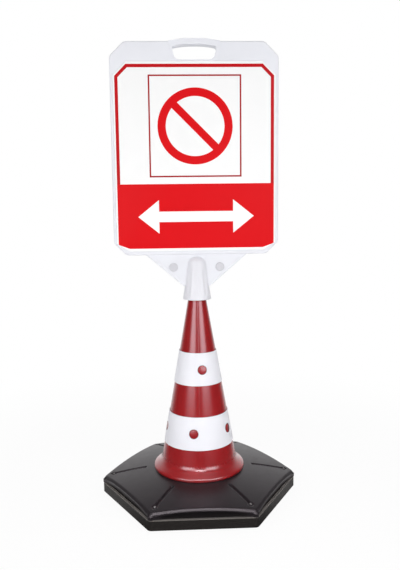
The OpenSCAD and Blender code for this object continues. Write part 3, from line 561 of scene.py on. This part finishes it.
# Board casing: face plate with label recess, raised grip round the hand hole, gusset and flared socket
casing = {"halfW": 183, "z0": 553.36, "z1": 1012.36, "topCut": 31, "lowCut": 27, "corner": 14, "front": 11,
          "edge": (3, 6), "backEdge": (0.35, 1),
          "sheetHalf": 176.5, "sheetZ0": 562.36, "sheetZ1": 970.36, "sheetTopCut": 29, "sheetLowCut": (28, 17),
          "sheetRound": 3, "sheetSteps": 4, "sheetDepth": 1, "sheetEdge": (0.15, 2), "gap": 0.3, "recess": 1.05,
          "holeZ0": 973.86, "holeZ1": 1005.86, "holeLow": 41.5, "holeHigh": 49, "holeArch": 5, "holeMid": 24.5,
          "holeRound": (12, 5, 150), "holeClear": 2, "gripOut": 12, "gripEdge": (2.2, 5),
          "grip": [(45, 971.16, 14), (54.5, 1001.86, 8), (58, 1012.56, 4), (24, 1017.86, 80)],
          "gussetOut": 8.5, "gussetHigh": 113, "gussetLow": 30, "gussetZ0": 482.36, "gussetIn": 10,
          "gussetEdge": (2.2, 5), "gussetRim": 2.8, "gussetSlope": 0.8, "gussetStep": 0.7,
          "mouthZ": 452.36, "mouthEdge": 0.8, "mouthIn": 0.4, "socketR": (32, 25.5, 21), "waistH": 40,
          "waistRound": (60, 6), "topH": 88, "crownH": 97, "crownDrop": 6, "axisR": 0.01, "wall": 3,
          "socketRows": (12, 8, 10), "socketSteps": 64,
          "fluteDeep": 1.5, "fluteWaves": 12.5, "fluteR": 17.5, "fluteSkin": 1.6, "fluteFoot": (4, 14),
          "fluteTop": (16, 34), "fluteSide": (0.75, 1.05),
          "screwX": 143, "screwR": 3.8, "screwFloor": 7.3, "screwSteps": 32}
sheetH = casing["sheetZ1"] - casing["sheetZ0"]
screwSpots = [(side * casing["screwX"], casing["sheetZ0"] + sheetH * (2 * k + 1) / 6)
              for side in (-1, 1) for k in range(3)]


def holeCorners(grow):
    z0, z1 = casing["holeZ0"] - grow, casing["holeZ1"] + grow
    low, high, top = (r + grow for r in casing["holeRound"])
    return bothSides([(casing["holeLow"] + grow, z0, low),
                      (casing["holeHigh"] + grow, z1 - casing["holeArch"], high), (casing["holeMid"], z1, top)])


def sheetCorners(grow):
    x, z0, z1 = casing["sheetHalf"] + grow, casing["sheetZ0"] - grow, casing["sheetZ1"] + grow
    r, (wideCut, highCut) = casing["sheetRound"], casing["sheetLowCut"]
    return bothSides([(x - wideCut, z0, r), (x, z0 + highCut, r),
                      (x, z1 - casing["sheetTopCut"], r), (x - casing["sheetTopCut"], z1, r)])


def addPlate(bm, bored):
    x, z0, z1, r, front = (casing[key] for key in ("halfW", "z0", "z1", "corner", "front"))
    face = outline(bm, bothSides([(x - casing["lowCut"], z0, r), (x, z0 + casing["lowCut"], r),
                                  (x, z1 - casing["topCut"], r), (x - casing["topCut"], z1, r)]))
    roundOff(bm, push(bm, [face], (0, -front, 0))[0].edges[:], *casing["edge"])
    roundOff(bm, flatFace(bm, 0).edges[:], *casing["backEdge"])
    frontFace, backFace = flatFace(bm, -front), flatFace(bm, 0)
    frontRim, backRim = frontFace.edges[:], backFace.edges[:]
    bmesh.ops.delete(bm, geom=[frontFace, backFace], context="FACES_ONLY")
    holeFront, holeBack = (loopOf(bm, holeCorners(casing["holeClear"]), y) for y in (-front, 0))
    sheet = loopOf(bm, sheetCorners(casing["gap"]), -front, casing["sheetSteps"])
    fillBetween(bm, frontRim + holeFront + sheet)
    fillBetween(bm, backRim + holeBack)
    bmesh.ops.bridge_loops(bm, edges=holeFront + holeBack)
    floor = pull(bm, sheet, (0, casing["recess"], 0))
    bores = []
    for x, z in screwSpots if bored else []:  # counterbored screw holes in the bare recess
        at = Matrix.Translation((x, -front + casing["recess"], z)) @ Matrix.Rotation(math.pi / 2, 4, "X")
        rim = bmesh.ops.create_circle(bm, cap_ends=False, segments=casing["screwSteps"],
                                      radius=casing["screwR"], matrix=at)["verts"]
        bores.append(list({e for v in rim for e in v.link_edges}))
    fillBetween(bm, floor + [e for rim in bores for e in rim])
    for rim in bores:
        low = pull(bm, rim, (0, front - casing["recess"] - casing["screwFloor"], 0))
        bmesh.ops.edgeloop_fill(bm, edges=low)


def addGrip(bm):  # raised ring round the hand hole
    out = casing["gripOut"]
    outer = loopOf(bm, bothSides(casing["grip"]), -out)
    inner = loopOf(bm, holeCorners(0), -out)
    push(bm, fillBetween(bm, outer + inner), (0, out, 0))
    rims = [e for e in bm.edges if level(e.verts, -out)
            and any(abs(f.calc_center_median().y + out) > build["flat"] for f in e.link_faces)]
    roundOff(bm, rims, *casing["gripEdge"])


def addGusset(bm):  # panel with a raised rim
    z0, out = casing["z0"], casing["gussetOut"]
    face = outline(bm, bothSides([(casing["gussetLow"], casing["gussetZ0"], 0), (casing["gussetHigh"], z0, 0),
                                  (casing["gussetHigh"], z0 + casing["gussetIn"], 0)]))
    roundOff(bm, push(bm, [face], (0, -out, 0))[0].edges[:], *casing["gussetEdge"])
    panel = flatFace(bm, -out)
    for inset in (casing["gussetRim"], casing["gussetSlope"]):
        bmesh.ops.inset_region(bm, faces=[panel], thickness=inset, use_even_offset=True)
    bmesh.ops.translate(bm, vec=(0, casing["gussetStep"], 0), verts=panel.verts)


def addSocket(bm):  # half of a turned flare with shallow upright flutes across the front
    before = set(bm.verts)
    r0, r1, r2 = casing["socketR"]
    mouth, edge, wall = casing["mouthZ"], casing["mouthEdge"], casing["wall"]
    waist, top, crown = (mouth + casing[key] for key in ("waistH", "topH", "crownH"))
    crownFoot = top - casing["crownDrop"]
    lowRows, highRows, crownRows = casing["socketRows"]
    outside = [(r0 - edge, mouth), (r0, mouth + edge)]
    outside += [(r0 + (r1 - r0) * k / lowRows, mouth + casing["waistH"] * k / lowRows)
                for k in range(1, lowRows)]
    outside += turnedCorner((r0, mouth), (r1, waist), (r2, top), *casing["waistRound"])
    outside += [(r1 + (r2 - r1) * k / highRows, waist + (top - waist) * k / highRows)
                for k in range(2, highRows - 1)]
    outside += [(r2 * math.sin(a), crownFoot + (crown - crownFoot) * math.cos(a))
                for a in (math.pi / 2 * (1 - k / crownRows) for k in range(crownRows))]
    within = [(casing["axisR"], crown), (casing["axisR"], crown - wall), (r2 - wall, crownFoot),
              (r1 - wall, waist), (r0 - wall, mouth + casing["mouthIn"])]
    lathe(bm, outside + within, casing["socketSteps"], math.pi, math.pi, closed=True)
    lowFade, highFade = [mouth + h for h in casing["fluteFoot"]], [waist + h for h in casing["fluteTop"]]
    for v in added(bm, before):
        z, r, a = v.co.z, v.co.xy.length, math.atan2(v.co.x, -v.co.y)
        skin = r0 + (r1 - r0) * min((z - mouth) / casing["waistH"], 1) - casing["fluteSkin"]
        if r > casing["fluteR"] and (r > skin or z > waist):
            fade = (softStep(z, *lowFade) * (1 - softStep(z, *highFade))
                    * (1 - softStep(abs(a), *casing["fluteSide"])))
            v.co.xy *= 1 - casing["fluteDeep"] * fade * (0.5 - 0.5 * math.cos(a * casing["fluteWaves"])) / r
    ends = [e for e in bm.edges if e.is_boundary and e.verts[0] not in before and level(e.verts, 0)]
    bmesh.ops.edgeloop_fill(bm, edges=ends)


for name, node, rear in (("front_casing", "front_shell", False), ("rear_casing", "rear_shell", True)):
    bm = bmesh.new()
    addPlate(bm, rear)
    addGrip(bm)
    addGusset(bm)
    addSocket(bm)
    if rear:
        bmesh.ops.scale(bm, vec=(1, -1, 1), verts=bm.verts)
    makePiece(name, bm, "sign", boardWhite, [node])

# Printed sheet let into the front
bm = bmesh.new()
face = outline(bm, sheetCorners(0), casing["sheetDepth"] - casing["front"], casing["sheetSteps"])
roundOff(bm, push(bm, [face], (0, -casing["sheetDepth"], 0))[0].edges[:], *casing["sheetEdge"])
makePiece("label_sheet", bm, "sign", labelPrint, ["front_label"])

# Wide-headed rivets through the gusset
rivet = {"x": 51.8, "z": 525.36, "headR": 9.75, "headH": 3, "shankR": 4, "domeDrop": 0.25,
         "domeRows": (0.2, 0.4, 0.6, 0.75, 0.86), "edgeR": 1, "edgeZ": 1.1, "footIn": 0.6, "steps": 48,
         "seat": casing["gussetOut"] - casing["gussetStep"]}
head = [(0, rivet["headH"])]
head += [(rivet["headR"] * s, rivet["headH"] * (1 - rivet["domeDrop"] * s * s)) for s in rivet["domeRows"]]
head += arc(rivet["headR"] - rivet["edgeR"], rivet["edgeZ"], rivet["edgeR"], 60, -20, 6)
head += [(rivet["headR"] - rivet["footIn"], 0), (rivet["shankR"], 0)]
half = [(r, h + rivet["seat"]) for r, h in head]
bm = bmesh.new()
for side in (-1, 1):
    before = set(bm.verts)
    lathe(bm, half + [(r, -h) for r, h in reversed(half)], rivet["steps"])
    place = Matrix.Translation((side * rivet["x"], 0, rivet["z"])) @ Matrix.Rotation(math.pi / 2, 4, "X")
    bmesh.ops.transform(bm, matrix=place, verts=added(bm, before))
makePiece("rivet_pair", bm, "sign", rivetGrey, ["gusset_rivets"])

# Pan-head screws with a cross recess, as shares of their head and shank; the head lies below z = 0 and the
# shank above
screw = {"point": 0.4, "headWall": 0.45, "dome": 0.55, "domeRows": (0.93, 0.82, 0.7), "arm": 0.45,
         "armHalf": 0.12, "recess": 0.5, "steps": 32}


def crossScrew(bm, place, size):
    before = set(bm.verts)
    shankR, headR, headH, length = (size[key] for key in ("shankR", "headR", "headH", "length"))
    profile = [(0, length), (shankR * screw["point"], length), (shankR, length - shankR), (shankR, 0),
               (headR, 0), (headR, -headH * screw["headWall"])]
    profile += [(headR * s, -headH * (1 - screw["dome"] * s * s)) for s in screw["domeRows"]]
    lathe(bm, profile, screw["steps"])
    bmesh.ops.remove_doubles(bm, verts=added(bm, before), dist=build["weld"])
    rim = [e for e in bm.edges if e.is_boundary and e.verts[0] not in before]
    arm, armHalf = headR * screw["arm"], headR * screw["armHalf"]
    cross, quarter = [], [(arm, -armHalf), (arm, armHalf), (armHalf, armHalf)]
    for turn in range(4):
        cross += quarter
        quarter = [(-y, x) for x, y in quarter]
    verts = [bm.verts.new((x, y, rim[0].verts[0].co.z)) for x, y in cross]
    slot = [bm.edges.new((verts[i - 1], verts[i])) for i in range(len(verts))]
    fillBetween(bm, rim + slot)
    bmesh.ops.edgeloop_fill(bm, edges=pull(bm, slot, (0, 0, headH * screw["recess"])))
    bmesh.ops.transform(bm, matrix=place, verts=added(bm, before))


traySet = {"count": 6, "r": 200, "z": 4.8, "shankR": 2, "headR": 4, "headH": 2.4, "length": 18}
bm = bmesh.new()
for k in range(traySet["count"]):
    crossScrew(bm, Matrix.Rotation(math.tau * k / traySet["count"], 4, "Z")
               @ Matrix.Translation((traySet["r"], 0, traySet["z"])), traySet)
makePiece("tray_screw_set", bm, "stand", screwZinc, ["tray_screws"])

boardSet = {"y": 7.5, "shankR": 1.75, "headR": 3.5, "headH": 2.2, "length": 11}
bm = bmesh.new()
for x, z in screwSpots:
    crossScrew(bm, Matrix.Translation((x, boardSet["y"], z)) @ Matrix.Rotation(math.pi / 2, 4, "X"), boardSet)
makePiece("board_screw_set", bm, "sign", screwZinc, ["board_screws"])

# CAD nodes that stay as they are take their finishes, and the tray's edges are rounded
for node, finish in {"base_tray": trayBlack, "ballast_block": concreteGrey, "foot_pads": padRubber,
                     "cone_screws": screwZinc, "lower_sleeve": sleeveWhite, "upper_sleeve": sleeveWhite,
                     "socket_bush": bushGrey}.items():
    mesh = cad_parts[node].data
    mesh.materials.clear()
    mesh.materials.append(finish.material)
trayEdge = {"weld": 0.00002, "width": 0.0012, "segments": 3, "sharp": 40}
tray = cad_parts["base_tray"]
weld = tray.modifiers.new("weld", "WELD")
weld.merge_threshold = trayEdge["weld"]
rim = tray.modifiers.new("rim", "BEVEL")
rim.width, rim.segments = trayEdge["width"], trayEdge["segments"]
rim.limit_method, rim.angle_limit = "ANGLE", math.radians(trayEdge["sharp"])
print("pieces made")

# Floor, world and lamps
studio = {"floor": 6.0, "floorTone": 0.93, "floorGlow": (0.91, 1.0), "glowFrom": (0.3, 1.2),
          "mirrored": (0.04, 1.0), "backFan": (0.3, 1.0), "backSides": (-0.1, 0.2), "backNear": (0.3, 0.45),
          "ambient": (0.08, 0.74), "ambientAhead": (-0.7, 0.2),
          "room": 0.06, "roomAhead": (0.3, 1.0), "roomUp": (0.4, 0.85),
          "ceiling": 0.6, "ceilingUp": (0.78, 0.93), "ceilingAhead": (-0.1, 0.1),
          "boxWide": 1.5, "boxTall": 1.2, "boxTurn": 35, "boxFar": 2.3, "boxHigh": 0.98, "boxAim": (0, 0, 0.6),
          "boxPower": 21.8, "topPlace": (0, -1.44, 1.13), "topAim": (0, -0.15, 0.06), "topWide": 0.8,
          "topDeep": 0.45, "topSpread": 40, "topPower": 0.65}
bm = bmesh.new()
bmesh.ops.create_grid(bm, x_segments=2, y_segments=2, size=studio["floor"])
mesh = bpy.data.meshes.new("floor")
bm.to_mesh(mesh)
bm.free()
floor = bpy.data.objects.new("floor", mesh)
scene.collection.objects.link(floor)


def grey(tone):
    return (tone,) * 3


def rayKinds(finish):
    return [finish.add("LightPath", None, (), ray)
            for ray in ("Is Camera Ray", "Is Glossy Ray", "Is Transmission Ray")]


# Reflections find the floor bright behind the part and dim elsewhere
paleFloor = Finish("paleFloor", roughness=0.9, specularIorLevel=0.0, baseColor=grey(studio["floorTone"]))
direct, mirrored, through = rayKinds(paleFloor)
fx, fy = paleFloor.xyz()[:2]
away = fx.far(fy)
behind = (fy / away).rise(*studio["backFan"]).most(
    (fy + abs(fx)).rise(*studio["backSides"]) * away.fall(*studio["backNear"]))
glow = paleFloor.add("Emission", None, {
    "Color": paleFloor.blend(direct.most(behind), *map(grey, studio["mirrored"])), "Strength": 1.0})
glowing = (direct * away.rise(*studio["glowFrom"], *studio["floorGlow"])).most(mirrored).most(through)
lit = Wire(paleFloor, paleFloor.shader.outputs[0])
paleFloor.feed(paleFloor.tree.nodes["Material Output"].inputs[0],
               paleFloor.add("MixShader", None, {0: glowing, 1: lit, 2: glow}))
mesh.materials.append(paleFloor.material)

# Reflections find the backdrop white, the room dim and the ceiling grey
world = bpy.data.worlds.new("studio")
world.use_nodes = True
scene.world = world
sky = Finish("studio", world.node_tree)
direct, mirrored, through = rayKinds(sky)
toward = sky.add("TexCoord", output="Generated")
ahead, up = [sky.add("SeparateXYZ", None, [toward], axis) for axis in (1, 2)]
room = ahead.fall(*studio["roomAhead"]).most(up.rise(*studio["roomUp"])) * (1 - direct)
ceiling = up.rise(*studio["ceilingUp"]) * ahead.fall(*studio["ceilingAhead"]) * (1 - direct)
backdrop = sky.blend(ceiling, sky.blend(room, grey(1), grey(studio["room"])), grey(studio["ceiling"]))
ambient = sky.blend(ahead.rise(*studio["ambientAhead"]), *map(grey, studio["ambient"]))
light, shown = [sky.add("Background", None, {"Color": tone, "Strength": 1.0}) for tone in (ambient, backdrop)]
sky.feed(world.node_tree.nodes["World Output"].inputs[0],
         sky.add("MixShader", None, {0: direct.most(mirrored).most(through), 1: light, 2: shown}))


def softBox(name, place, aimAt, wide, tall, power, spread=180):
    lamp = bpy.data.lights.new(name, "AREA")
    lamp.shape, lamp.size, lamp.size_y = "RECTANGLE", wide, tall
    lamp.energy, lamp.spread = power, math.radians(spread)
    box = bpy.data.objects.new(name, lamp)
    aim = (Vector(aimAt) - Vector(place)).to_track_quat("-Z", "Y")
    box.matrix_world = Matrix.Translation(place) @ aim.to_matrix().to_4x4()
    scene.collection.objects.link(box)


turn = math.radians(studio["boxTurn"])
for side in (-1, 1):
    place = (side * studio["boxFar"] * math.sin(turn), -studio["boxFar"] * math.cos(turn), studio["boxHigh"])
    softBox("sideBox", place, studio["boxAim"], studio["boxWide"], studio["boxTall"], studio["boxPower"])
softBox("topBox", studio["topPlace"], studio["topAim"], studio["topWide"], studio["topDeep"],
        studio["topPower"], studio["topSpread"])
print("studio set")
